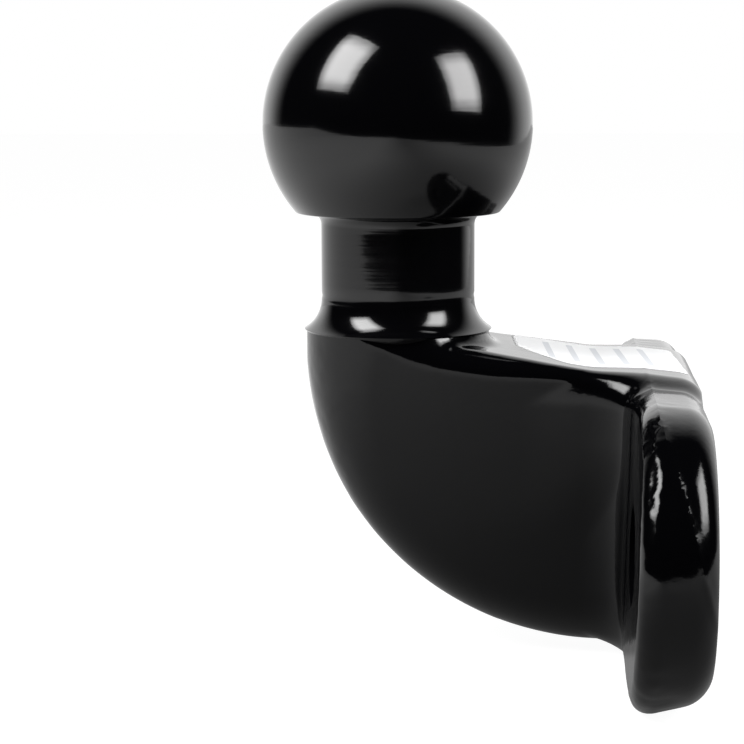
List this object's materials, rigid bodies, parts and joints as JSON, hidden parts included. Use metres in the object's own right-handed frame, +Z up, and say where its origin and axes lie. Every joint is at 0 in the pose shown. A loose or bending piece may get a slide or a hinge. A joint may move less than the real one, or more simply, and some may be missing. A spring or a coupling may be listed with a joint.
{
  "type": "trailer hitch with ball",
  "caption": "Forged flange tow ball: a turned 50 mm ball and neck on a swept arm that runs into a flange bolted upright to a tow bar.",
  "frame": {"origin": "middle of the two-hole pattern, on the machined back face of the flange", "axes": "+X out of the back face towards the vehicle, +Z up along the ball's axis, +Y along the line of the two bolt holes"},
  "size_m": [0.08, 0.1424, 0.1213],
  "materials": {
    "black_paint": "gloss black stoving enamel over a steel forging",
    "label_film": "white self-adhesive film, semi-gloss"
  },
  "bodies": {
    "root": {"hitch_forging": "black_paint", "rating_label": "label_film"}
  },
  "joints": []
}
